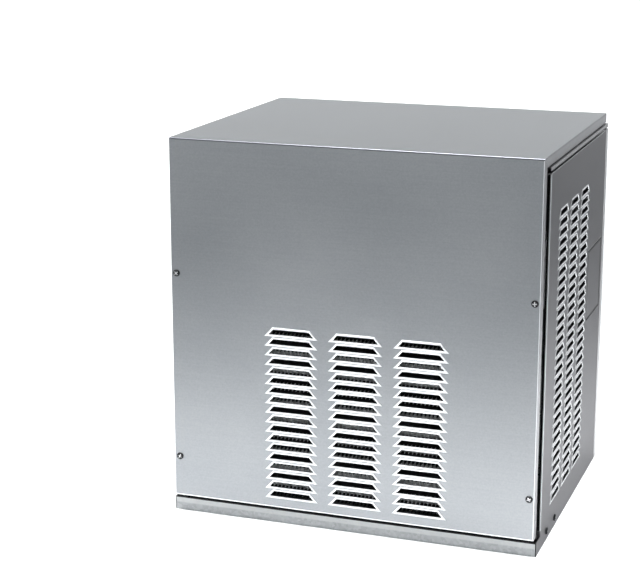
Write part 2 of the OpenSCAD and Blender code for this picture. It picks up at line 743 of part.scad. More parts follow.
// Refrigerant circuit
module discharge_line() color(copper) tube_run([[discharge_xy[0], discharge_xy[1], stub_top],
  [discharge_xy[0], discharge_xy[1], coil_top], [line_x, rear_row_y, coil_top],
  [coil_end, rear_row_y, coil_top]], line_d, 16);
module liquid_line() color(copper) tube_run([[coil_end, rear_row_y, coil_low],
  [line_x, rear_row_y, coil_low], [line_x, drier_y, coil_low]], line_d, 16);
module filter_drier() color(copper) translate([line_x, drier_y, coil_low]) rotate([-90, 0, 0]) {
  neck = line_d / 2 + 1;
  rotate_extrude() polygon([[0, 0], [neck, 0], [neck, 6], [drier_d / 2, 16], [drier_d / 2, drier_l - 16],
    [neck, drier_l - 6], [neck, drier_l], [0, drier_l]]);
}
module valve_line() color(copper) tube_run([[line_x, drier_y + drier_l, coil_low],
  [line_x, cross_y, coil_low], [valve_xy[0], cross_y, coil_low], [valve_xy[0], valve_xy[1], coil_low],
  [valve_xy[0], valve_xy[1], stub_low - 22]], line_d, 16);
module expansion_valve() color("goldenrod") translate([valve_xy[0], valve_xy[1], stub_low]) {
  translate([0, 0, -22]) cylinder(d = 14, h = 10);
  translate([0, 0, -12]) cylinder(d = 22 / cos(30), h = 24, $fn = 6);
  translate([0, 0, 12]) cylinder(d = 14, h = 10);
  translate([0, 0, 22]) rotate_extrude() polygon([[0, 0], [10, 0], [21, 4], [21, 8], [12, 12], [0, 12]]);
  rotate([0, 0, stub_a + 180]) rod_x(14, valve_r - stub_end);
}
module suction_line() color(copper) {
  p = [evap[0] + stub_end * cos(stub_a), evap[1] + stub_end * sin(stub_a)];
  q = valve_xy;
  tube_run([[p[0], p[1], stub_high], [q[0], q[1], stub_high], [suction_xy[0], q[1], stub_high],
    [suction_xy[0], suction_xy[1], stub_high], [suction_xy[0], suction_xy[1], stub_top]], line_d, 16);
}

// Gear drive: a cast housing under the evaporator with the motor standing on its other end
module gear_outline(grow) {
  translate(evap) circle(gear_r + grow);
  translate(drive) circle(drive_d / 2 + gear_rim + grow);
  translate((evap + drive) / 2) rotate(atan2(drive[1] - evap[1], drive[0] - evap[0]))
    square([norm(drive - evap), 84 + 2 * grow], center = true);
}
module gear_housing() color("slategray") difference() {
  union() {
    translate([0, 0, floor_z]) linear_extrude(height = gear_h) gear_outline(-5);
    translate([0, 0, floor_z]) linear_extrude(height = 10) gear_outline(0);
    translate([0, 0, floor_z + gear_h * 0.5]) linear_extrude(height = 12) gear_outline(0);
    translate([0, 0, gear_top - 8]) linear_extrude(height = 8) translate(evap) circle(gear_r);
  }
  translate([evap[0], evap[1], gear_top - 28]) cylinder(r = bush_r + 4 + running, h = 28 + eps);
}
module drive_motor() color("slategray") translate([drive[0], drive[1], gear_top]) {
  r = drive_d / 2;
  rotate_extrude() polygon([[0, 0], [r, 0], [r, 10], [r - 6, 14], [r - 6, drive_l - 18],
    [r - 2, drive_l - 16], [r - 2, drive_l - 8], [r - 10, drive_l], [0, drive_l]]);
  for (a = [0:20:359]) rotate([0, 0, a]) translate([r - 8, -1, 10]) cube([6, 2, drive_l - 24]);
}
module output_coupling() color(steel) translate([evap[0], evap[1], gear_top - 28 + fit]) difference() {
  cylinder(r = bush_r + 4, h = 28 - 2 * fit);
  translate([0, 0, 4]) cylinder(r = journal_r + running, h = 28);
}

// Lower bearing and seal housing with the water spigot
module bearing_housing() color("gainsboro") translate([evap[0], evap[1], gear_top]) difference() {
  union() {
    cylinder(r = flange_r, h = 7);
    cylinder(r = flange_r - 9, h = housing_h);
    translate([0, 0, housing_h - 7]) cylinder(r = flange_r, h = 7);
    translate([0, 0, feed_z - gear_top]) rotate([0, 0, 180]) rod_x(hose_d - 4, foam_r + 4);
  }
  translate([0, 0, -eps]) cylinder(r = bush_r + running, h = housing_h + 2 * eps);
  translate([0, 0, housing_h - 6]) cylinder(d = barrel_bore, h = 8);
  translate([0, 0, feed_z - gear_top]) rotate([0, 0, 180]) rod_x(hose_d - 8, foam_r + 4 + eps);
}
module auger_bearings() color("goldenrod") for (z = [gear_top + fit, barrel_top + 3])
  translate([evap[0], evap[1], z]) difference() {
    cylinder(r = bush_r, h = bush_l);
    translate([0, 0, -eps]) cylinder(r = journal_r + running, h = bush_l + 2 * eps);
  }

// Evaporator: a barrel with the refrigerant jacket brazed round it and two stubs
module evaporator_barrel() color(steel) translate([evap[0], evap[1], barrel_z]) difference() {
  union() {
    cylinder(d = barrel_bore + 2 * barrel_wall, h = barrel_l);
    translate([0, 0, 14]) cylinder(r = jacket_r, h = barrel_l - 28);
    for (z = [0, barrel_l - flange_t]) translate([0, 0, z]) cylinder(r = flange_r, h = flange_t);
    for (z = [stub_low, stub_high]) translate([0, 0, z - barrel_z]) rotate([0, 0, stub_a])
      rod_x(line_d + 3, stub_end);
  }
  translate([0, 0, -eps]) cylinder(d = barrel_bore, h = barrel_l + 2 * eps);
}
module evaporator_foam() color("darkgray") difference() {
  z0 = barrel_z + flange_t + fit;
  h = barrel_l - 2 * flange_t - 2 * fit;
  translate([evap[0], evap[1], z0]) cylinder(r = foam_r, h = h);
  translate([evap[0], evap[1], z0 - eps]) cylinder(r = jacket_r + fit, h = h + 2 * eps);
  for (z = [stub_low, stub_high]) translate([evap[0], evap[1], z]) rotate([0, 0, stub_a])
    rod_x(line_d + 3 + 2 * fit, foam_r + eps);
}

// Auger: core and flight are one twisted form, with a journal at each end
module auger() color(steel) translate([evap[0], evap[1], 0]) {
  z0 = gear_top + fit + bush_l + fit;
  l = barrel_top + 3 - fit - z0;
  turns = (l - 16) / auger_lead;
  translate([0, 0, z0]) cylinder(d = auger_core, h = 9);
  translate([0, 0, z0 + 8])
    linear_extrude(height = l - 16, twist = -360 * turns, slices = round(turns * 14)) {
      circle(d = auger_core, $fn = 24);
      intersection() {
        circle(d = barrel_bore - 2 * auger_gap, $fn = 24);
        translate([0, -4.5]) square([barrel_bore, 9]);
      }
    }
  translate([0, 0, z0 + l - 9]) cylinder(d = auger_core, h = 9);
  translate([0, 0, gear_top - 28 + fit + 4 + fit]) cylinder(r = journal_r, h = z0 - gear_top + 24);
  translate([0, 0, z0 + l - eps]) cylinder(r = journal_r, h = head_top + fit - z0 - l + eps);
  translate([0, 0, head_top]) cylinder(d = 14, h = 40);
}

// Extruder head: a casting that squeezes the slush through six slots and carries the top bearing
module extruder_head() color("gainsboro") translate([evap[0], evap[1], barrel_top]) difference() {
  cylinder(r = flange_r, h = head_h);
  translate([0, 0, -eps]) cylinder(r = bush_r + running, h = head_h + 2 * eps);
  translate([0, 0, -eps]) cylinder(r = auger_core / 2 + 2 * fit, h = 3 + eps);
  for (a = [30:60:359]) rotate([0, 0, a]) translate([bush_r + 6, -7, -eps])
    cube([barrel_bore / 2 - bush_r - 7, 14, head_h + 2 * eps]);
}

// Ice breaker: a hub with four raked paddles, keyed to the auger
module ice_breaker() color(steel) translate([evap[0], evap[1], head_top + 2 * fit]) difference() {
  union() {
    rotate_extrude() polygon([[0, 0], [20, 0], [15, 34], [0, 34]]);
    intersection() {
      cylinder(r = flange_r - 6, h = 30);
      for (a = [0:90:359]) rotate([0, 0, a]) translate([10, -3, 0])
        rotate([-20, 0, 0]) cube([60, 6, 40]);
    }
  }
  translate([0, 0, -eps]) cylinder(r = 7 + running, h = 40);
}

// Spout: a cap over the breaker with a duct to the chute
module ice_spout() color(white_plastic) difference() {
  l = evap[1] - chute_y1;
  union() {
    translate([evap[0], evap[1], head_top]) cylinder(r = spout_r, h = spout_h);
    translate([evap[0] - duct_w / 2 - chute_wall, chute_y1, head_top])
      cube([duct_w + 2 * chute_wall, l, spout_h]);
  }
  translate([evap[0], evap[1], head_top - eps]) cylinder(r = spout_r - chute_wall, h = duct_h + eps);
  translate([evap[0] - duct_w / 2, chute_y1 - eps, head_top + chute_wall])
    cube([duct_w, l, duct_h - chute_wall]);
}

// Chute: a plastic duct down through the base tray, with a flange that rests on the tray
module ice_chute() color(white_plastic) difference() {
  translate([evap[0], (chute_y0 + chute_y1) / 2, 0]) difference() {
    union() {
      linear_extrude(height = chute_top) rounded(chute_w, chute_d, 8);
      translate([0, 0, floor_z]) linear_extrude(height = chute_wall)
        rounded(chute_w + 20, chute_d + 20, 12);
    }
    translate([0, 0, -eps]) linear_extrude(height = chute_top - chute_wall + eps)
      rounded(chute_w - 2 * chute_wall, chute_d - 2 * chute_wall, 8 - chute_wall);
  }
  translate([evap[0] - duct_w / 2, chute_y1 - 2 * chute_wall, head_top + chute_wall])
    cube([duct_w, 3 * chute_wall, duct_h - chute_wall]);
}

// Water reservoir on its bracket, with lid, float valve and float
module tank_block(z, h, in) translate([tank_x, (tank_y0 + tank_y1) / 2, z]) linear_extrude(height = h)
  rounded(tank_w - 2 * in, tank_l - 2 * in, max(8 - in, 1));
module at_spigots(z) for (y = [evap[1], overflow_y]) translate([tank_x, y, z]) children();
module float_reservoir() color(white_plastic) difference() {
  union() {
    tank_block(tank_z, tank_h, 0);
    at_spigots(hose_end) cylinder(d = hose_d - 4, h = tank_z - hose_end + 1);
  }
  tank_block(tank_z + tank_wall, tank_h, tank_wall);
  at_spigots(hose_end - eps) cylinder(d = hose_d - 8, h = 40);
}
module reservoir_lid() color(white_plastic) difference() {
  union() {
    tank_block(tank_top, 3, 0);
    tank_block(tank_top - 5, 6, tank_wall + fit);
  }
  tank_block(tank_top - 6, 6, 2 * tank_wall);
  translate([tank_x, water_y, tank_top - 6]) cylinder(d = 12 + 2 * running, h = 20);
}
module reservoir_bracket() color(zinc) difference() {
  w = tank_w - 8;
  union() {
    translate([tank_x - w / 2, tank_y0 + 6, tank_z - frame_sheet])
      cube([w, rear_y - sheet - tank_y0 - 6, frame_sheet]);
    translate([tank_x - w / 2, rear_y - sheet - frame_sheet, tank_z - frame_sheet])
      cube([w, frame_sheet, 50]);
  }
  at_spigots(tank_z - 5) cylinder(d = hose_d - 4 + 2 * fit, h = 10);
}
module float_valve() color("goldenrod") {
  translate([tank_x, water_y, tank_top + 3]) cylinder(d = 20, h = 9);
  translate([tank_x, water_y, tank_top + 12]) cylinder(d = hose_d - 4, h = 14);
  difference() {
    translate([tank_x, water_y, pivot_z - 6]) cylinder(d = 12, h = tank_top - pivot_z + 10);
    translate([tank_x - 3, water_y - 8, pivot_z - 8]) cube([6, 16, 14]);
  }
  translate([tank_x - 5, water_y, pivot_z]) rod_x(3, 10);
}
module float_lever() color(white_plastic) difference() {
  union() {
    translate([tank_x - 2.5, water_y, pivot_z]) rod_x(9, 5);
    translate([tank_x - 2.5, water_y - arm_l, pivot_z - 2]) cube([5, arm_l, 4]);
    translate([tank_x, water_y - arm_l, pivot_z - 16]) linear_extrude(height = 20) rounded(38, 40, 8);
  }
  translate([tank_x - 5, water_y, pivot_z]) rod_x(3 + 2 * running, 10);
}

// Hoses
module supply_hose() color("white") difference() {
  y = rear_y - barb_in;
  p = [[supply_x, y + 12, inlet_z], [supply_x, water_y, inlet_z], [supply_x, water_y, tank_top + 50],
    [tank_x, water_y, tank_top + 50], [tank_x, water_y, tank_top + 13]];
  tube_run(p, hose_d, 18);
  translate([supply_x, y - eps, inlet_z]) rod_y(hose_d - 4 + 2 * running, 30);
  translate([tank_x, water_y, tank_top]) cylinder(d = hose_d - 4 + 2 * running, h = 26 + fit);
}
module feed_hose() color("white") difference() {
  x = evap[0] - foam_r - 4;
  tube_run([[tank_x, evap[1], tank_z - frame_sheet - 1], [tank_x, evap[1], feed_z],
    [x + 10, evap[1], feed_z]], hose_d, 16);
  translate([tank_x, evap[1], hose_end - fit]) cylinder(d = hose_d - 4 + 2 * running, h = 30);
  translate([x - fit, evap[1], feed_z]) rod_x(hose_d - 4 + 2 * running, 30);
}
module drain_hose() color("white") difference() {
  y = rear_y - barb_in;
  tube_run([[tank_x, overflow_y, tank_z - frame_sheet - 1], [tank_x, overflow_y, drain_z],
    [tank_x, y + 12, drain_z]], hose_d, 16);
  translate([tank_x, overflow_y, hose_end - fit]) cylinder(d = hose_d - 4 + 2 * running, h = 30);
  translate([tank_x, y - fit, drain_z]) rod_y(hose_d - 4 + 2 * running, 30);
}

// Connections in the rear panel
module water_inlet() color("goldenrod") translate([supply_x, rear_y, inlet_z]) difference() {
  union() {
    rod_y(inlet_d, inlet_out);
    translate([0, -sheet, 0]) rod_y(inlet_d + collar, sheet);
    translate([0, -sheet - 6, 0]) rotate([-90, 0, 0]) cylinder(d = 34 / cos(30), h = 6, $fn = 6);
    translate([0, -barb_in, 0]) rod_y(hose_d - 4, barb_in);
  }
  translate([0, -barb_in - eps, 0]) rod_y(hose_d - 8, barb_in + inlet_out + 2 * eps);
  translate([0, 2, 0]) rod_y(inlet_d - 8, inlet_out);
}
module drain_spigot() color(dark) translate([tank_x, rear_y, drain_z]) difference() {
  union() {
    rod_y(drain_d, inlet_out - 1);
    translate([0, -sheet, 0]) rod_y(drain_d + collar, sheet);
    translate([0, -sheet - 5, 0]) rod_y(drain_d + 10, 5);
    translate([0, -barb_in, 0]) rod_y(hose_d - 4, barb_in);
  }
  translate([0, -barb_in - eps, 0]) rod_y(hose_d - 8, barb_in + inlet_out + 2 * eps);
  translate([0, 2, 0]) rod_y(drain_d - 5, inlet_out);
}
module cable_gland() color(dark) translate([gland_x, rear_y, gland_z]) difference() {
  union() {
    translate([0, -10, 0]) rod_y(gland_d, 11);
    translate([0, -sheet - 5, 0]) rotate([-90, 0, 0]) cylinder(d = 27, h = 5, $fn = 6);
    rotate([-90, 0, 0]) cylinder(d = 27, h = 5, $fn = 6);
    translate([0, 5, 0]) rotate([-90, 0, 0]) rotate_extrude()
      polygon([[0, 0], [12, 0], [12, 6], [9, inlet_out - 6], [0, inlet_out - 6]]);
  }
  translate([0, -12, 0]) rod_y(gland_bore, 40);
}

// Control box: a tray on the right post, with a lid in front that holds the main switch
module control_box() color(zinc) {
  difference() {
    translate([box_x0, box_y0, box_z]) cube([box_w, box_l, box_h]);
    translate([box_x0 + frame_sheet, box_y0 - eps, box_z + frame_sheet])
      cube([box_w - 2 * frame_sheet, box_l - frame_sheet + eps, box_h - 2 * frame_sheet]);
  }
  translate([post_x + frame_sheet, box_y0 - 24, box_z]) cube([box_ear, 28, box_h]);
}
module control_box_lid() color(zinc) difference() {
  translate([box_x0, box_y0 - lid_t, box_z]) cube([post_x - fit - box_x0, lid_t, box_h]);
  translate([switch_x, box_y0 - lid_t - eps, switch_z])
    plate(lid_t + 2 * eps) square([rocker_w + 4, rocker_h + 4], center = true);
}
module control_board() color("darkgreen") translate([box_x0 + frame_sheet, box_y0 + 46, box_z + 10]) {
  cube([1.6, 70, box_h - 20]);
  for (z = [8, 32]) translate([1.6, 8, z]) cube([16, 28, 18]);
  translate([1.6, 44, 8]) cube([10, 10, box_h - 40]);
}
module run_capacitor() color(white_plastic)
  translate([box_x1 - frame_sheet - 18, box_y0 + 90, box_z + frame_sheet]) {
    cylinder(d = 32, h = 72);
    for (x = [-5, 5]) translate([x - 2, -0.5, 72]) cube([4, 1, 8]);
  }
module switch_frame() color("black") translate([switch_x, box_y0 - lid_t, switch_z]) difference() {
  union() {
    translate([0, -2, 0]) plate(2) rounded(rocker_w + 8, rocker_h + 8, 2);
    plate(20) square([rocker_w + 4 - 2 * running, rocker_h + 4 - 2 * running], center = true);
  }
  translate([0, -3, 0]) plate(16) square([rocker_w + 2 * fit, rocker_h + 2 * fit], center = true);
  translate([-rocker_w / 2 - 1.5, pivot_in, 0]) rod_x(3 + 2 * running, rocker_w + 3);
}
module switch_rocker() color("darkred")
  translate([switch_x, box_y0 - lid_t + pivot_in, switch_z]) rotate([-rocker_tilt, 0, 0]) {
    h = rocker_h / 2 - 2;
    along_x(rocker_w) polygon([[-9, -h], [-7.5, 0], [-9, h], [0, h], [2, 0], [0, -h]]);
    translate([-rocker_w / 2 - 1.5 + running, 0, 0]) rod_x(3, rocker_w + 3 - 2 * running);
  }

base_tray();
front_top_cover();
right_side_panel();
left_side_panel();
rear_panel();
right_post();
left_post();
right_rail();
left_rail();
access_hatch();
cabinet_screws();
condenser_fins();
condenser_tubes();
condenser_end_plates();
fan_shroud();
fan_bracket();
fan_motor();
fan_shaft();
fan_blade();
compressor();
compressor_grommets();
compressor_studs();
compressor_terminal_cover();
discharge_line();
liquid_line();
filter_drier();
valve_line();
expansion_valve();
suction_line();
gear_housing();
drive_motor();
output_coupling();
bearing_housing();
auger_bearings();
evaporator_barrel();
evaporator_foam();
auger();
extruder_head();
ice_breaker();
ice_spout();
ice_chute();
float_reservoir();
reservoir_lid();
reservoir_bracket();
float_valve();
float_lever();
supply_hose();
feed_hose();
drain_hose();
water_inlet();
drain_spigot();
cable_gland();
control_box();
control_box_lid();
control_board();
run_capacitor();
switch_frame();
switch_rocker();
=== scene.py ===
import math

import bmesh
import bpy
from mathutils import Matrix, Vector


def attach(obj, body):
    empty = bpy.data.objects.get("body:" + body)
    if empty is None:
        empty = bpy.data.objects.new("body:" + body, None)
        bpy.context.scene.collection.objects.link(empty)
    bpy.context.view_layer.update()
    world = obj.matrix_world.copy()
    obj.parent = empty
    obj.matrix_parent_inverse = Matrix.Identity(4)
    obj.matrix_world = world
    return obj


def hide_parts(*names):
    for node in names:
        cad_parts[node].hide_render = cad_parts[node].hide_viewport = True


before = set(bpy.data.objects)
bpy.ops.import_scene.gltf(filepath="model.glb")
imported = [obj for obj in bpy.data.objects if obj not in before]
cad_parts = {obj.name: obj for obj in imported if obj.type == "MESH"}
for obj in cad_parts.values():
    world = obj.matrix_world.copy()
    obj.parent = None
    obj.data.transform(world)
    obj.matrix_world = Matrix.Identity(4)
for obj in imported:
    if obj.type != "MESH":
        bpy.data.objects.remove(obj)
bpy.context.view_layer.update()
scene = bpy.context.scene


# The camera stands a little right of the machine and looks down on it from about 2.5 m, as a
# catalogue photographer does. Its long lens keeps the cabinet's edges nearly parallel.
camera_data = bpy.data.cameras.new("catalogue_camera")
camera_data.sensor_width = 36
camera_data.lens = 95.1
camera_data.shift_y = -0.04
camera_data.clip_end = 100
camera = bpy.data.objects.new("catalogue_camera", camera_data)
camera.location = (0.7451, -2.4498, 0.9620)
look_down = 13.38
look_left = 19.63
camera.rotation_euler = (math.radians(90 - look_down), 0, math.radians(look_left))
scene.collection.objects.link(camera)
scene.camera = camera


# The machine stands on pale studio paper that sweeps up all round it in one soft bend, 11 m away.
# Paper is matt, with a faint fibre that breaks up its colour. Its far part glows with painted light,
# an emission that grows with distance from the machine.
def add_node(tree, kind, settings=None, **inputs):
    node = tree.nodes.new(kind)
    for key, value in (settings or {}).items():
        setattr(node, key, value)
    for key, value in inputs.items():
        node.inputs[key.replace("_", " ")].default_value = value
    return node


def new_group(name, inputs, outputs):
    tree = bpy.data.node_groups.new(name, "ShaderNodeTree")
    for label, kind in inputs:
        tree.interface.new_socket(label, in_out="INPUT", socket_type=kind)
    for label in outputs:
        tree.interface.new_socket(label, in_out="OUTPUT", socket_type="NodeSocketFloat")
    return tree, tree.nodes.new("NodeGroupInput"), tree.nodes.new("NodeGroupOutput")


surface_grain, group_in, group_out = new_group(
    "surface_grain",
    [("Scale", "NodeSocketFloat"), ("Stretch", "NodeSocketVector")],
    ["Grain", "Blotch"],
)
place = add_node(surface_grain, "ShaderNodeTexCoord")
stretch = add_node(surface_grain, "ShaderNodeVectorMath", {"operation": "MULTIPLY"})
fine = add_node(surface_grain, "ShaderNodeTexNoise", Detail=4.0)
broad = add_node(surface_grain, "ShaderNodeTexNoise", Scale=16.0, Detail=3.0)
surface_grain.links.new(place.outputs["Object"], stretch.inputs[0])
surface_grain.links.new(group_in.outputs["Stretch"], stretch.inputs[1])
surface_grain.links.new(stretch.outputs["Vector"], fine.inputs["Vector"])
surface_grain.links.new(group_in.outputs["Scale"], fine.inputs["Scale"])
surface_grain.links.new(place.outputs["Object"], broad.inputs["Vector"])
surface_grain.links.new(fine.outputs["Fac"], group_out.inputs["Grain"])
surface_grain.links.new(broad.outputs["Fac"], group_out.inputs["Blotch"])


def grained(tree, scale, stretch=(1, 1, 1)):
    node = add_node(tree, "ShaderNodeGroup", {"node_tree": surface_grain}, Scale=scale, Stretch=stretch)
    return node.outputs


def new_material(name, **inputs):
    material = bpy.data.materials.new(name)
    material.use_nodes = True
    shader = material.node_tree.nodes["Principled BSDF"]
    for key, value in inputs.items():
        shader.inputs[key.replace("_", " ")].default_value = value
    return material, material.node_tree, shader


def ramp(tree, factor, low, high, dark, light):
    node = add_node(tree, "ShaderNodeValToRGB")
    node.color_ramp.elements[0].position = low
    node.color_ramp.elements[1].position = high
    node.color_ramp.elements[0].color = (*dark, 1)
    node.color_ramp.elements[1].color = (*light, 1)
    tree.links.new(factor, node.inputs["Fac"])
    return node.outputs["Color"]


def new_piece(name, bm, *materials):
    mesh = bpy.data.meshes.new(name)
    bm.to_mesh(mesh)
    bm.free()
    for material in materials:
        mesh.materials.append(material)
    piece = bpy.data.objects.new(name, mesh)
    scene.collection.objects.link(piece)
    return piece


paper, tree, shader = new_material("studio_paper", Roughness=0.9, Emission_Strength=0.62)
fibre = ramp(tree, grained(tree, 60)["Grain"], 0.3, 0.7, (0.86, 0.87, 0.88), (0.9, 0.91, 0.92))
tree.links.new(fibre, shader.inputs["Base Color"])
place = add_node(tree, "ShaderNodeTexCoord")
away = add_node(tree, "ShaderNodeVectorMath", {"operation": "LENGTH"})
tree.links.new(place.outputs["Object"], away.inputs[0])
# Painted light: the paper emits more the farther it lies from the machine, from 2.6 m to 6.5 m.
glow_from = 2.6
glow_full = 6.5
painted_glow_share = add_node(tree, "ShaderNodeMapRange", From_Min=glow_from, From_Max=glow_full)
tree.links.new(away.outputs["Value"], painted_glow_share.inputs["Value"])
glow = ramp(tree, painted_glow_share.outputs["Result"], 0.0, 1.0, (0, 0, 0), (1, 1, 1))
tree.links.new(glow, shader.inputs["Emission Color"])
floor_r = 11
bend_r = 2
wall_h = 1.6
bm = bmesh.new()
middle = bmesh.ops.create_vert(bm, co=(0, 0, 0))["vert"]
floor_end = bmesh.ops.create_vert(bm, co=(floor_r, 0, 0))["vert"]
bm.edges.new(middle + floor_end)
bend = bmesh.ops.spin(bm, geom=floor_end, cent=(floor_r, 0, bend_r), axis=(0, -1, 0),
                      angle=math.radians(90), steps=12)
bend_end = [part for part in bend["geom_last"] if isinstance(part, bmesh.types.BMVert)]
wall = bmesh.ops.extrude_vert_indiv(bm, verts=bend_end)
bmesh.ops.translate(bm, verts=wall["verts"], vec=(0, 0, wall_h))
bmesh.ops.spin(bm, geom=bm.verts[:] + bm.edges[:], cent=(0, 0, 0), axis=(0, 0, 1), angle=2 * math.pi,
               steps=64, use_merge=True)
bmesh.ops.remove_doubles(bm, verts=bm.verts[:], dist=1e-5)
bmesh.ops.recalc_face_normals(bm, faces=bm.faces[:])
for face in bm.faces:
    face.smooth = True
new_piece("studio_paper", bm, paper)


# Soft studio light: a grey room and one wide panel overhead, left of and behind the machine. A small
# panel above its front and one above its right side lift the paper round its foot.
def soft_panel(name, place, aim, size, power, angle):
    data = bpy.data.lights.new(name, "AREA")
    data.shape = "RECTANGLE"
    data.size = size[0]
    data.size_y = size[1]
    data.energy = power
    data.spread = math.radians(angle)
    light = bpy.data.objects.new(name, data)
    light.location = place
    light.rotation_euler = (Vector(aim) - Vector(place)).to_track_quat("-Z", "Y").to_euler()
    scene.collection.objects.link(light)


world = bpy.data.worlds.new("grey_room")
world.use_nodes = True
world.node_tree.nodes["Background"].inputs["Color"].default_value = (0.93, 0.97, 1.0, 1)
world.node_tree.nodes["Background"].inputs["Strength"].default_value = 0.42
scene.world = world
soft_panel("overhead_panel", place=(-4.3, 3.6, 4.5), aim=(-4.3, 3.6, 0), size=(9, 8),
           power=330, angle=58)
soft_panel("near_panel", place=(-0.75, -0.5, 3.0), aim=(-0.5, -0.25, 0), size=(2.0, 0.9),
           power=13, angle=40)
soft_panel("right_panel", place=(1.2, 0.05, 3.2), aim=(1.2, 0.05, 0), size=(1.6, 1.3),
           power=26, angle=36)
scene.view_settings.view_transform = "Standard"


# Base tray and posts: folded zinc-coated sheet with the crystal flakes that hot zinc leaves. The
# tray carries everything and is painted lighter along its upper part. Its strip under the cover is
# painted black as shade, and the posts are painted near black as shade.
def arithmetic(tree, operation, *values):
    node = add_node(tree, "ShaderNodeMath", {"operation": operation})
    for socket, value in zip(node.inputs, values):
        if isinstance(value, (int, float)):
            socket.default_value = value
        else:
            tree.links.new(value, socket)
    return node.outputs[0]


def spread(tree, factor, low, high):
    node = add_node(tree, "ShaderNodeMapRange", To_Min=low, To_Max=high)
    tree.links.new(factor, node.inputs["Value"])
    return node.outputs["Result"]


def step_between(tree, value, low, high):
    node = add_node(tree, "ShaderNodeMapRange", {"interpolation_type": "SMOOTHSTEP"})
    node.inputs["From Min"].default_value = low
    node.inputs["From Max"].default_value = high
    tree.links.new(value, node.inputs["Value"])
    return node.outputs["Result"]


def bump(tree, shader, height, strength, distance):
    node = add_node(tree, "ShaderNodeBump", Strength=strength, Distance=distance)
    tree.links.new(height, node.inputs["Height"])
    tree.links.new(node.outputs["Normal"], shader.inputs["Normal"])


def mix_colour(tree, factor, under, over):
    node = add_node(tree, "ShaderNodeMix", {"data_type": "RGBA"})
    tree.links.new(factor, node.inputs["Factor"])
    tree.links.new(under, node.inputs[6])
    node.inputs[7].default_value = (*over, 1)
    return node.outputs[2]


def along(tree, axis):
    place = add_node(tree, "ShaderNodeTexCoord")
    parts = add_node(tree, "ShaderNodeSeparateXYZ")
    tree.links.new(place.outputs["Object"], parts.inputs["Vector"])
    return parts.outputs[axis]


def banded(tree, colour, bands):
    for spans, soft, over in bands:
        masks = []
        for axis, start, end in spans:
            masks.append(step_between(tree, along(tree, axis), start - soft, start + soft))
            masks.append(step_between(tree, along(tree, axis), end + soft, end - soft))
        mask = masks[0]
        for other in masks[1:]:
            mask = arithmetic(tree, "MULTIPLY", mask, other)
        colour = mix_colour(tree, mask, colour, over)
    return colour


def galvanised(name, dark, light, bands=(), **sockets):
    material, tree, shader = new_material(name, **sockets)
    place = add_node(tree, "ShaderNodeTexCoord")
    flakes = add_node(tree, "ShaderNodeTexVoronoi", Scale=240.0)
    tree.links.new(place.outputs["Object"], flakes.inputs["Vector"])
    flake = add_node(tree, "ShaderNodeSeparateColor")
    tree.links.new(flakes.outputs["Color"], flake.inputs["Color"])
    colour = banded(tree, ramp(tree, flake.outputs["Red"], 0.0, 1.0, dark, light), bands)
    tree.links.new(colour, shader.inputs["Base Color"])
    tree.links.new(spread(tree, flake.outputs["Green"], 0.4, 0.55), shader.inputs["Roughness"])
    bump(tree, shader, flake.outputs["Red"], 0.04, 0.0002)
    return material


def dress(material, *names):
    for name in names:
        node_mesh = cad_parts[name].data
        node_mesh.materials.clear()
        node_mesh.materials.append(material)


# The tray is painted lighter from 11.8 mm up, below the black strip.
tray_upper_lighter_band = [("Z", 0.0118, 1)], 0.0012, (0.38, 0.39, 0.39)
black = (0.012, 0.012, 0.013)
# Painted shade: the tray's strip under the cover, from 19.2 mm up, is black.
tray_painted_shade_strip = [("Z", 0.0192, 1)], 0.0001, black
tray_bands = [tray_upper_lighter_band, tray_painted_shade_strip]
tray_zinc = galvanised("tray_zinc", (0.27, 0.28, 0.285), (0.33, 0.34, 0.345), tray_bands, Metallic=0.85)
dress(tray_zinc, "base_tray")
# Painted shade: the posts are near black, so the gaps beside the cover look dark.
posts_painted_shade = galvanised("posts_painted_shade", (0.01, 0.01, 0.011), (0.03, 0.03, 0.031), Metallic=1.0,
                       Specular_Tint=(0.1, 0.1, 0.1, 1))
dress(posts_painted_shade, "right_post", "left_post")


# Condenser and fan: a block of thin aluminium fins on a copper coil, held by zinc end plates, with
# the fan in a shroud behind it. The fins are painted near black as the shade inside the cabinet, and
# their collars round the coil keep the bare aluminium colour.
settled_dust, group_in, group_out = new_group("settled_dust", [("Amount", "NodeSocketFloat")], ["Mask"])
facing = add_node(settled_dust, "ShaderNodeNewGeometry")
parts = add_node(settled_dust, "ShaderNodeSeparateXYZ")
place = add_node(settled_dust, "ShaderNodeTexCoord")
patches = add_node(settled_dust, "ShaderNodeTexNoise", Scale=45.0, Detail=4.0)
settled_dust.links.new(facing.outputs["Normal"], parts.inputs["Vector"])
settled_dust.links.new(place.outputs["Object"], patches.inputs["Vector"])
level = step_between(settled_dust, parts.outputs["Z"], 0.3, 1.0)
patch = step_between(settled_dust, patches.outputs["Fac"], 0.3, 0.7)
dusty = arithmetic(settled_dust, "MULTIPLY", level, patch)
settled_dust.links.new(
    arithmetic(settled_dust, "MULTIPLY", dusty, group_in.outputs["Amount"]), group_out.inputs["Mask"])


tone_low = 0.35
tone_high = 0.65
dust_grey = (0.3, 0.29, 0.27)


def finish(name, dark, light, rough, scale, depth=0.0001, stretch=(1, 1, 1), dust=0.0, bands=(),
           **sockets):
    material, tree, shader = new_material(name, **sockets)
    grain = grained(tree, scale, stretch)
    fine = arithmetic(tree, "MULTIPLY", grain["Grain"], 0.6)
    tone = arithmetic(tree, "MULTIPLY_ADD", grain["Blotch"], 0.4, fine)
    colour = banded(tree, ramp(tree, tone, tone_low, tone_high, dark, light), bands)
    if dust:
        settled = add_node(tree, "ShaderNodeGroup", {"node_tree": settled_dust}, Amount=dust)
        colour = mix_colour(tree, settled.outputs["Mask"], colour, dust_grey)
    tree.links.new(colour, shader.inputs["Base Color"])
    tree.links.new(spread(tree, tone, *rough), shader.inputs["Roughness"])
    bump(tree, shader, grain["Grain"], 0.3, depth)
    return material


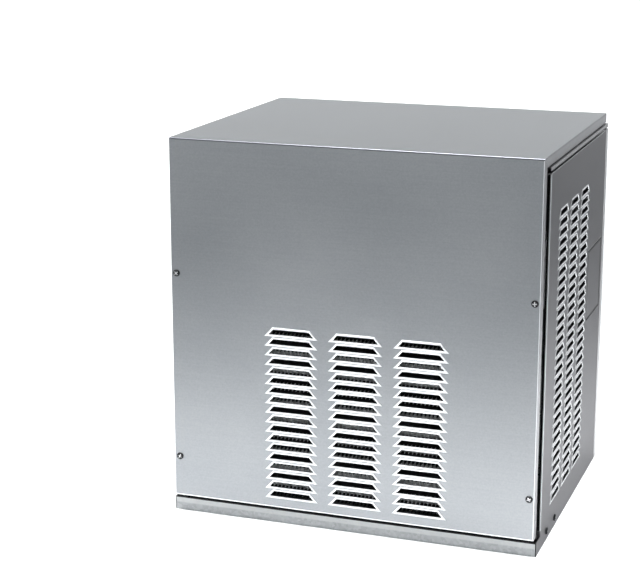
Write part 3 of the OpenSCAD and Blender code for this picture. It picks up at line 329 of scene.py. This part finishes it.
coil_pitch = 0.0254
lowest_coil = 0.0537
half_bare = 0.13
half_shaded = 0.2
fin_foil, tree, shader = new_material("fin_foil", Metallic=0.3)
grain = grained(tree, 300)
turns = arithmetic(tree, "MULTIPLY_ADD", along(tree, "Z"), 1 / coil_pitch, 0.5 - lowest_coil / coil_pitch)
off_coil = arithmetic(tree, "SUBTRACT", arithmetic(tree, "FRACT", turns), 0.5)
bare = step_between(tree, arithmetic(tree, "ABSOLUTE", off_coil), half_shaded, half_bare)
# Painted shade: the fins away from the coil are near black.
fin_painted_shade = ramp(tree, grain["Grain"], 0.3, 0.7, (0.03, 0.03, 0.031), (0.08, 0.08, 0.081))
tree.links.new(mix_colour(tree, bare, fin_painted_shade, (0.8, 0.81, 0.82)), shader.inputs["Base Color"])
tree.links.new(spread(tree, grain["Grain"], 0.45, 0.7), shader.inputs["Roughness"])
dress(fin_foil, "condenser_fins")
dress(finish("coil_tube", (0.62, 0.61, 0.6), (0.86, 0.85, 0.84), (0.35, 0.6), 120, Metallic=0.4),
      "condenser_tubes")
zinc = galvanised("zinc_sheet", (0.38, 0.39, 0.40), (0.45, 0.46, 0.465), Metallic=0.85)
dress(zinc, "condenser_end_plates", "fan_shroud", "fan_bracket")
enamel = finish("motor_enamel", (0.1, 0.11, 0.12), (0.16, 0.17, 0.19), (0.4, 0.6), 700, 0.0002, dust=0.5)
dress(enamel, "fan_motor")
blade = finish("pressed_blade", (0.45, 0.46, 0.47), (0.62, 0.63, 0.64), (0.3, 0.5), 200, dust=0.4,
               Metallic=1.0)
dress(blade, "fan_blade")
ground_steel = finish("ground_steel", (0.5, 0.5, 0.5), (0.75, 0.75, 0.74), (0.2, 0.4), 900, Metallic=1.0)
dress(ground_steel, "fan_shaft")


# Compressor and refrigerant circuit: a welded steel shell in black gloss enamel on rubber grommets,
# with drawn copper lines brazed to it, a copper filter drier and a brass expansion valve.
shell = finish("shell_enamel", (0.012, 0.012, 0.014), (0.028, 0.028, 0.031), (0.2, 0.35), 500, 0.0002,
               dust=0.6, Coat_Weight=0.5, Coat_Roughness=0.1)
dress(shell, "compressor")
rubber = finish("grommet_rubber", (0.015, 0.015, 0.015), (0.035, 0.034, 0.033), (0.6, 0.85), 900, 0.0002,
                dust=0.3)
dress(rubber, "compressor_grommets")
dress(ground_steel, "compressor_studs")
black_moulding = finish("black_moulding", (0.02, 0.02, 0.022), (0.045, 0.045, 0.048), (0.35, 0.5), 1200)
dress(black_moulding, "compressor_terminal_cover")
copper = finish("drawn_copper", (0.3, 0.13, 0.07), (0.74, 0.42, 0.27), (0.22, 0.5), 60, Metallic=1.0)
dress(copper, "discharge_line", "liquid_line", "valve_line", "suction_line", "filter_drier")
brass = finish("turned_brass", (0.5, 0.34, 0.12), (0.76, 0.57, 0.27), (0.18, 0.38), 1,
               stretch=(60, 1800, 60), Metallic=1.0)
dress(brass, "expansion_valve")


# Ice making: the gear motor turns a stainless auger in the barrel of the evaporator, which foam
# wraps. The castings are sand-blasted aluminium, and spout and chute are moulded from white plastic.
dress(enamel, "drive_motor", "gear_housing")
dress(ground_steel, "output_coupling")
turned = finish("turned_stainless", (0.55, 0.56, 0.57), (0.76, 0.76, 0.77), (0.16, 0.34), 1,
                stretch=(40, 40, 1500), Metallic=1.0)
dress(turned, "auger", "evaporator_barrel", "ice_breaker")
casting = finish("blasted_casting", (0.5, 0.51, 0.52), (0.68, 0.69, 0.7), (0.4, 0.65), 700, 0.0003,
                 Metallic=1.0)
dress(casting, "bearing_housing", "extruder_head")
dress(finish("bearing_bronze", (0.42, 0.24, 0.09), (0.66, 0.44, 0.2), (0.3, 0.5), 500, Metallic=1.0),
      "auger_bearings")
dress(finish("cell_foam", (0.02, 0.02, 0.021), (0.06, 0.06, 0.06), (0.8, 0.95), 500, 0.0006),
      "evaporator_foam")
white_moulding = finish("white_moulding", (0.72, 0.73, 0.73), (0.83, 0.84, 0.84), (0.3, 0.45), 800)
dress(white_moulding, "ice_spout", "ice_chute")


# Water side: a white moulded reservoir on a zinc bracket, its float on a lever that works a brass
# valve, and soft milky hoses pushed over the barbs.
dress(white_moulding, "float_reservoir", "reservoir_lid", "float_lever")
dress(zinc, "reservoir_bracket")
dress(brass, "float_valve")
dress(finish("milky_hose", (0.6, 0.64, 0.66), (0.78, 0.81, 0.82), (0.2, 0.4), 200, Coat_Weight=0.3),
      "supply_hose", "feed_hose", "drain_hose")


# Control box: a matt zinc tray with its lid, painted black at its front end as shade beside the
# right post. It holds a laminate board with black relays, a white capacitor and the main switch with
# its red rocker.
# Painted shade: the box is black in front of y = -0.202.
box_front_painted_shade = [([("Y", -1, -0.202)], 0.001, black)]
box_zinc = galvanised("box_zinc", (0.6, 0.61, 0.62), (0.74, 0.75, 0.76), box_front_painted_shade, Metallic=0.25)
dress(box_zinc, "control_box", "control_box_lid")
relays = [("X", 0.1937, 1)], 0.0001, (0.02, 0.02, 0.024)
dress(finish("board_laminate", (0.01, 0.07, 0.03), (0.03, 0.16, 0.07), (0.25, 0.5), 350, bands=[relays]),
      "control_board")
dress(white_moulding, "run_capacitor")
dress(black_moulding, "switch_frame")
dress(finish("red_moulding", (0.35, 0.015, 0.012), (0.5, 0.03, 0.024), (0.2, 0.35), 900, Coat_Weight=0.3),
      "switch_rocker")


# Rear connections: the water inlet is turned from brass, with a hexagon inside the panel and a three
# quarter inch pipe thread outside. The drain spigot and the cable gland are black mouldings.
def shade_round(piece, sharp):
    for face in piece.data.polygons:
        face.use_smooth = True
    piece.data.set_sharp_from_angle(angle=math.radians(sharp))


rear_y = 0.2233
inlet_place = (-0.1908, rear_y, 0.150)
hexagon_from = 0.016
inlet_line = [(3, -26), (4.4, -26), (5, -25.2), (5, -7.2), (17, -7.2), (17, -1.2), (14.2, -1.2), (14.2, 0)]
inlet_line += [(12, 0), (12, 15.2), (11.4, 16), (9.8, 16), (9.2, 15.4), (9.2, 2), (3, 2)]
thread_line = [(11.9, 0.9), (13.2, 1.45), (13.2, 1.85), (11.9, 2.4)]
thread_pitch = 0.001814
thread_turns = 7
turn_steps = 32
bm = bmesh.new()
points = [bm.verts.new((r / 1000, y / 1000, 0)) for r, y in inlet_line]
for a, b in zip(points, points[1:] + points[:1]):
    bm.edges.new((a, b))
bmesh.ops.spin(bm, geom=bm.verts[:] + bm.edges[:], cent=(0, 0, 0), axis=(0, 1, 0), angle=2 * math.pi,
               steps=48, use_merge=True)
bmesh.ops.remove_doubles(bm, verts=bm.verts[:], dist=1e-6)
for vert in bm.verts:
    if math.hypot(vert.co.x, vert.co.z) > hexagon_from:
        wedge = math.atan2(vert.co.z, vert.co.x) % math.radians(60) - math.radians(30)
        vert.co.x /= math.cos(wedge)
        vert.co.z /= math.cos(wedge)
points = [bm.verts.new((r / 1000, y / 1000, 0)) for r, y in thread_line]
ridge = bm.faces.new(points)
bmesh.ops.spin(bm, geom=points + ridge.edges[:] + [ridge], cent=(0, 0, 0), axis=(0, 1, 0),
               dvec=(0, thread_pitch / turn_steps, 0), angle=2 * math.pi * thread_turns,
               steps=turn_steps * thread_turns)
bmesh.ops.recalc_face_normals(bm, faces=bm.faces[:])
bmesh.ops.translate(bm, verts=bm.verts[:], vec=inlet_place)
inlet = new_piece("threaded_inlet", bm, brass)
shade_round(inlet, 25)
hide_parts("water_inlet")
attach(inlet, "machine")
dress(brass, "water_inlet")
dress(black_moulding, "drain_spigot", "cable_gland")


# Rear panel, side panels, hatch and rails: stainless sheet that a belt brushed in one direction, the
# sides from front to back. The side panels and hatch are painted darker than the cover as shade.
# Their front, top and hatch edges carry painted highlights, painted shade darkens the side panels'
# front flange and foot, the hatch joint and the rails under their lip, and the side panels are
# darker along the rear edge.
brushing, group_in, group_out = new_group(
    "belt_brushing", [("Stretch", "NodeSocketVector")], ["Streak", "Cloud", "Speck"])
place = add_node(brushing, "ShaderNodeTexCoord")
stretch = add_node(brushing, "ShaderNodeVectorMath", {"operation": "MULTIPLY"})
streaks = add_node(brushing, "ShaderNodeTexNoise", Scale=1.0, Detail=4.0, Roughness=0.65)
clouds = add_node(brushing, "ShaderNodeTexNoise", Scale=5.0, Detail=3.0)
specks = add_node(brushing, "ShaderNodeTexNoise", Scale=420.0, Detail=2.0)
brushing.links.new(place.outputs["Object"], stretch.inputs[0])
brushing.links.new(group_in.outputs["Stretch"], stretch.inputs[1])
brushing.links.new(stretch.outputs["Vector"], streaks.inputs["Vector"])
brushing.links.new(place.outputs["Object"], clouds.inputs["Vector"])
brushing.links.new(place.outputs["Object"], specks.inputs["Vector"])
brushing.links.new(streaks.outputs["Fac"], group_out.inputs["Streak"])
brushing.links.new(clouds.outputs["Fac"], group_out.inputs["Cloud"])
brushing.links.new(specks.outputs["Fac"], group_out.inputs["Speck"])


def stainless(name, stretch, dark, light, rough, bands=(), edge_shine=1.0):
    material, tree, shader = new_material(name, Metallic=1.0, Specular_Tint=(edge_shine,) * 3 + (1,))
    grain = add_node(tree, "ShaderNodeGroup", {"node_tree": brushing}, Stretch=stretch)
    soft = arithmetic(tree, "MULTIPLY", grain.outputs["Cloud"], 0.4)
    fine = arithmetic(tree, "MULTIPLY_ADD", grain.outputs["Speck"], 0.35, soft)
    tone = arithmetic(tree, "MULTIPLY_ADD", grain.outputs["Streak"], 0.25, fine)
    colour = banded(tree, ramp(tree, tone, tone_low, tone_high, dark, light), bands)
    tree.links.new(colour, shader.inputs["Base Color"])
    tree.links.new(spread(tree, tone, rough - 0.08, rough + 0.08), shader.inputs["Roughness"])
    bump(tree, shader, grain.outputs["Streak"], 0.06, 0.0002)
    return material


across = (12, 700, 700)
front_to_back = (700, 12, 700)
# Painted shade: the side panels and hatch use a darker copy of the stainless.
side_shaded_tones = (0.11, 0.108, 0.116), (0.15, 0.148, 0.155), 0.34
painted_shade_black = (0.015, 0.015, 0.016)
front_edge_highlight_grey = (0.62, 0.63, 0.64)
hatch_edge_highlight = (0.3, 0.3, 0.31)
# Painted highlight: a light band along the side panels' front edge.
front_edge_highlight = [("Y", -1, -0.2025), ("Z", 0.03, 1)], 0.001, front_edge_highlight_grey
# Painted shade: the inner front flange and the foot of the side panels are near black.
front_flange_shade = [("Y", -1, -0.2058), ("X", -0.2788, 0.2788), ("Z", 0.03, 1)], 0.0004, painted_shade_black
foot_end_shade = [("Y", -1, -0.2308), ("Z", -1, 0.03)], 0.0004, painted_shade_black
# Painted highlight: a light line along the side panels' top edge.
top_edge_highlight = [("Z", 0.5488, 1)], 0.0004, (0.4, 0.4, 0.41)
# Darker along the side panels' rear edge.
rear_edge = [("Y", 0.2, 1)], 0.0008, (0.06, 0.06, 0.064)
# Painted highlight: light lines on the panel above and behind the hatch.
over_hatch = [("Z", 0.3781, 0.3794), ("Y", 0.09, 0.198), ("X", 0, 1)], 0.0004, hatch_edge_highlight
behind_hatch = [("Y", 0.1966, 0.1985), ("Z", 0.266, 0.378), ("X", 0, 1)], 0.0004, hatch_edge_highlight
panel_bands = [front_edge_highlight, front_flange_shade, foot_end_shade, top_edge_highlight, rear_edge, over_hatch, behind_hatch]
# Painted shade: a dark band round the hatch's rear, top and foot edges.
hatch_rear_shade = [("Y", 0.1895, 1)], 0.0007, painted_shade_black
hatch_top_shade = [("Z", 0.3737, 1)], 0.0004, painted_shade_black
hatch_foot_shade = [("Z", -1, 0.2698)], 0.0004, painted_shade_black
hatch_bands = [hatch_rear_shade, hatch_top_shade, hatch_foot_shade]
# Painted shade: the rails are near black under their lip.
under_lip_shade = [("Z", -1, 0.5546)], 0.0003, painted_shade_black
rail_bands = [under_lip_shade]
rear_tones = (0.3, 0.3, 0.31), (0.38, 0.38, 0.385), 0.36
rail_tones = (0.26, 0.26, 0.265), (0.33, 0.33, 0.335), 0.34
dress(stainless("rear_stainless", across, *rear_tones), "rear_panel")
dress(stainless("panel_stainless", front_to_back, *side_shaded_tones, panel_bands, 0.6),
      "right_side_panel", "left_side_panel")
dress(stainless("hatch_stainless", front_to_back, *side_shaded_tones, hatch_bands, 0.6), "access_hatch")
dress(stainless("rail_stainless", front_to_back, *rail_tones, rail_bands, 0.8), "right_rail", "left_rail")


# Cover: front and top are one folded stainless sheet, 1.2 mm thick, hung on the posts with screws.
# It is brushed from side to side. Its right fold and lower edge are painted light as highlights, its
# side returns are painted darker as shade, and its top fold is painted dark to damp its highlight.
# Painted shade: the cover's side returns are darker.
return_shade_grey = (0.2, 0.2, 0.21)
right_return = [("X", 0.2766, 1)], 0.0003, return_shade_grey
left_return = [("X", -1, -0.2766)], 0.0003, return_shade_grey
# Painted highlights on the right fold and the lower edge; painted shade on the top fold.
right_fold_highlight = [("X", 0.2756, 0.2765), ("Y", -1, -0.236)], 0.0002, (0.85, 0.86, 0.88)
top_fold_shade = [("Z", 0.5722, 0.5747)], 0.0003, (0.13, 0.135, 0.15)
lower_edge_highlight = [("Z", -1, 0.0273)], 0.0003, (0.9, 0.91, 0.92)
cover_bands = [right_return, left_return, right_fold_highlight, top_fold_shade, lower_edge_highlight]
cover_tones = (0.262, 0.275, 0.288), (0.318, 0.328, 0.338), 0.31
dress(stainless("cover_stainless", across, *cover_tones, cover_bands, 0.88), "front_top_cover")


# Louvre rims: the press coins a rounded edge round each opening that it cuts, painted bright as a
# highlight, near white on the front and lighter grey on the side. The front has three columns of 18
# openings and the right side three columns of 30.
row_pitch = 0.0147
opening_h = 0.0078
end_slant = 0.007
rim_w = 0.003
rim_steps = (0.0006, 0.0005), (0.0009, 0.0002), (0.0007, -0.0001), (0.0008, -0.0006)


def rim_field(bm, cols, rows, gap, width, place):
    reach = rim_w * math.hypot(end_slant, opening_h) / opening_h
    lean = rim_w * end_slant / opening_h
    low_half = width / 2 + reach + lean
    top_half = width / 2 - end_slant + reach - lean
    top = opening_h + rim_w
    ring = [(-low_half, -rim_w), (low_half, -rim_w), (top_half, top), (-top_half, top)]
    for col in range(cols):
        for row in range(rows):
            middle = (col - (cols - 1) / 2) * gap
            corners = [place @ Vector((middle + x, 0, row * row_pitch + z)) for x, z in ring]
            face = bm.faces.new([bm.verts.new(corner) for corner in corners])
            face.normal_update()
            for inset, lift in rim_steps:
                bmesh.ops.inset_individual(bm, faces=[face], thickness=inset, depth=lift,
                                           use_even_offset=True)
            bmesh.ops.delete(bm, geom=[face], context="FACES_ONLY")


# Painted highlight: the rims are near white on the front and a lighter grey on the side.
front_rim_highlight = finish("front_rim_painted_highlight", (0.86, 0.88, 0.9), (0.97, 0.98, 0.98), (0.22, 0.42), 500,
                      Metallic=0.9)
side_rim_highlight = finish("side_rim_painted_highlight", (0.42, 0.43, 0.44), (0.54, 0.55, 0.55), (0.25, 0.45), 500,
                     Metallic=0.9)
front_y = -0.2367
side_x = 0.280
front_place = Matrix.Translation((0.009, front_y, 0.043))
side_place = Matrix.Translation((side_x, -0.0332, 0.050)) @ Matrix.Rotation(math.radians(90), 4, "Z")
bm = bmesh.new()
rim_field(bm, cols=3, rows=18, gap=0.0985, width=0.069, place=front_place)
front_rims = new_piece("front_louvre_rims", bm, front_rim_highlight)
bm = bmesh.new()
rim_field(bm, cols=3, rows=30, gap=0.078, width=0.0575, place=side_place)
side_rims = new_piece("side_louvre_rims", bm, side_rim_highlight)
for rims in (front_rims, side_rims):
    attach(rims, "machine")


# Cabinet screws: thirteen pan heads, cold formed and zinc plated. The heads are painted near black
# as a dark reflection, and the cross recess is painted bright as a highlight. Each holds the cover,
# a side panel or the rear panel.
head_r = 0.00525
head_h = 0.0026
head_edge = 0.0008
crown_h = 0.0013
shank_r = 0.00175
shank_l = 0.009
recess_l = 0.0066
recess_w = 0.0016
recess_reach = 0.0036
punch_h = 0.0034
punch_lift = 0.0002
skin = 0.0001
bm = bmesh.new()
crown = [(head_r * math.sin(a), -head_h + crown_h * (1 - math.cos(a))) for a in (0.35, 0.7, 1.05)]
shank = [(shank_r, 0.0), (shank_r, shank_l), (0.0, shank_l)]
screw_line = [(0.0, -head_h), *crown, (head_r, -head_edge), (head_r, 0.0), *shank]
points = [bm.verts.new((r, y, 0)) for r, y in screw_line]
for a, b in zip(points, points[1:]):
    bm.edges.new((a, b))
bmesh.ops.spin(bm, geom=bm.verts[:] + bm.edges[:], cent=(0, 0, 0), axis=(0, 1, 0), angle=2 * math.pi,
               steps=32, use_merge=True)
bmesh.ops.remove_doubles(bm, verts=bm.verts[:], dist=1e-6)
bmesh.ops.recalc_face_normals(bm, faces=bm.faces[:])
blank = new_piece("screw_blank", bm)
bm = bmesh.new()
for turn in (0, 90):
    arm = bmesh.ops.create_cube(bm, size=1)["verts"]
    bmesh.ops.scale(bm, verts=arm, vec=(recess_l, punch_h, recess_w))
    bmesh.ops.rotate(bm, verts=arm, cent=(0, 0, 0), matrix=Matrix.Rotation(math.radians(turn), 3, "Y"))
    bmesh.ops.translate(bm, verts=arm, vec=(0, -head_h - punch_lift, 0))
cutter = new_piece("screw_cutter", bm)
cut = blank.modifiers.new("cross_recess", "BOOLEAN")
cut.operation = "DIFFERENCE"
cut.solver = "EXACT"
cut.use_self = True
cut.object = cutter
one_screw = bpy.data.meshes.new_from_object(blank.evaluated_get(bpy.context.evaluated_depsgraph_get()))
for face in one_screw.polygons:
    reach = math.hypot(face.center.x, face.center.z)
    surface = crown_h * (1 - math.cos(math.asin(min(1, reach / head_r)))) - head_h
    below_crown = surface + skin < face.center.y < -head_edge
    face.material_index = int(reach < recess_reach and below_crown)
bpy.data.objects.remove(blank)
bpy.data.objects.remove(cutter)
bm = bmesh.new()
foot_z = 0.01365
cover_rear_y = 0.2203
places = [((x, front_y, z), 0) for x in (-0.269, 0.269) for z in (0.088, 0.373)]
places += [((side_x, y, foot_z), 90) for y in (-0.1627, -0.1077)]
places += [((-side_x, y, foot_z), -90) for y in (-0.1627, -0.1077)]
places += [((x, rear_y, foot_z), 180) for x in (-0.2, 0, 0.2)]
places += [((x, cover_rear_y, 0.566), 180) for x in (-0.14, 0.14)]
first_turn = 0.5
next_turn = 1.9
for number, (spot, turn) in enumerate(places):
    done = len(bm.verts)
    bm.from_mesh(one_screw)
    bm.verts.ensure_lookup_table()
    move = Matrix.Translation(spot) @ Matrix.Rotation(math.radians(turn), 4, "Z")
    move = move @ Matrix.Rotation(first_turn + next_turn * number, 4, "Y")
    bmesh.ops.transform(bm, matrix=move, verts=bm.verts[done:])
# Painted reflection and highlight: near-black heads, bright cross recess.
screw_head_dark_reflection = finish("screw_head_painted_dark_reflection", (0.02, 0.02, 0.022), (0.05, 0.05, 0.052), (0.25, 0.4), 900, Metallic=1.0,
                 Specular_Tint=(0.5, 0.5, 0.5, 1))
recess = finish("recess_painted_highlight", (0.6, 0.61, 0.62), (0.85, 0.85, 0.85), (0.25, 0.45), 900, Metallic=0.9)
screws = new_piece("pan_head_screws", bm, screw_head_dark_reflection, recess)
shade_round(screws, 25)
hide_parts("cabinet_screws")
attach(screws, "machine")
dress(screw_head_dark_reflection, "cabinet_screws")
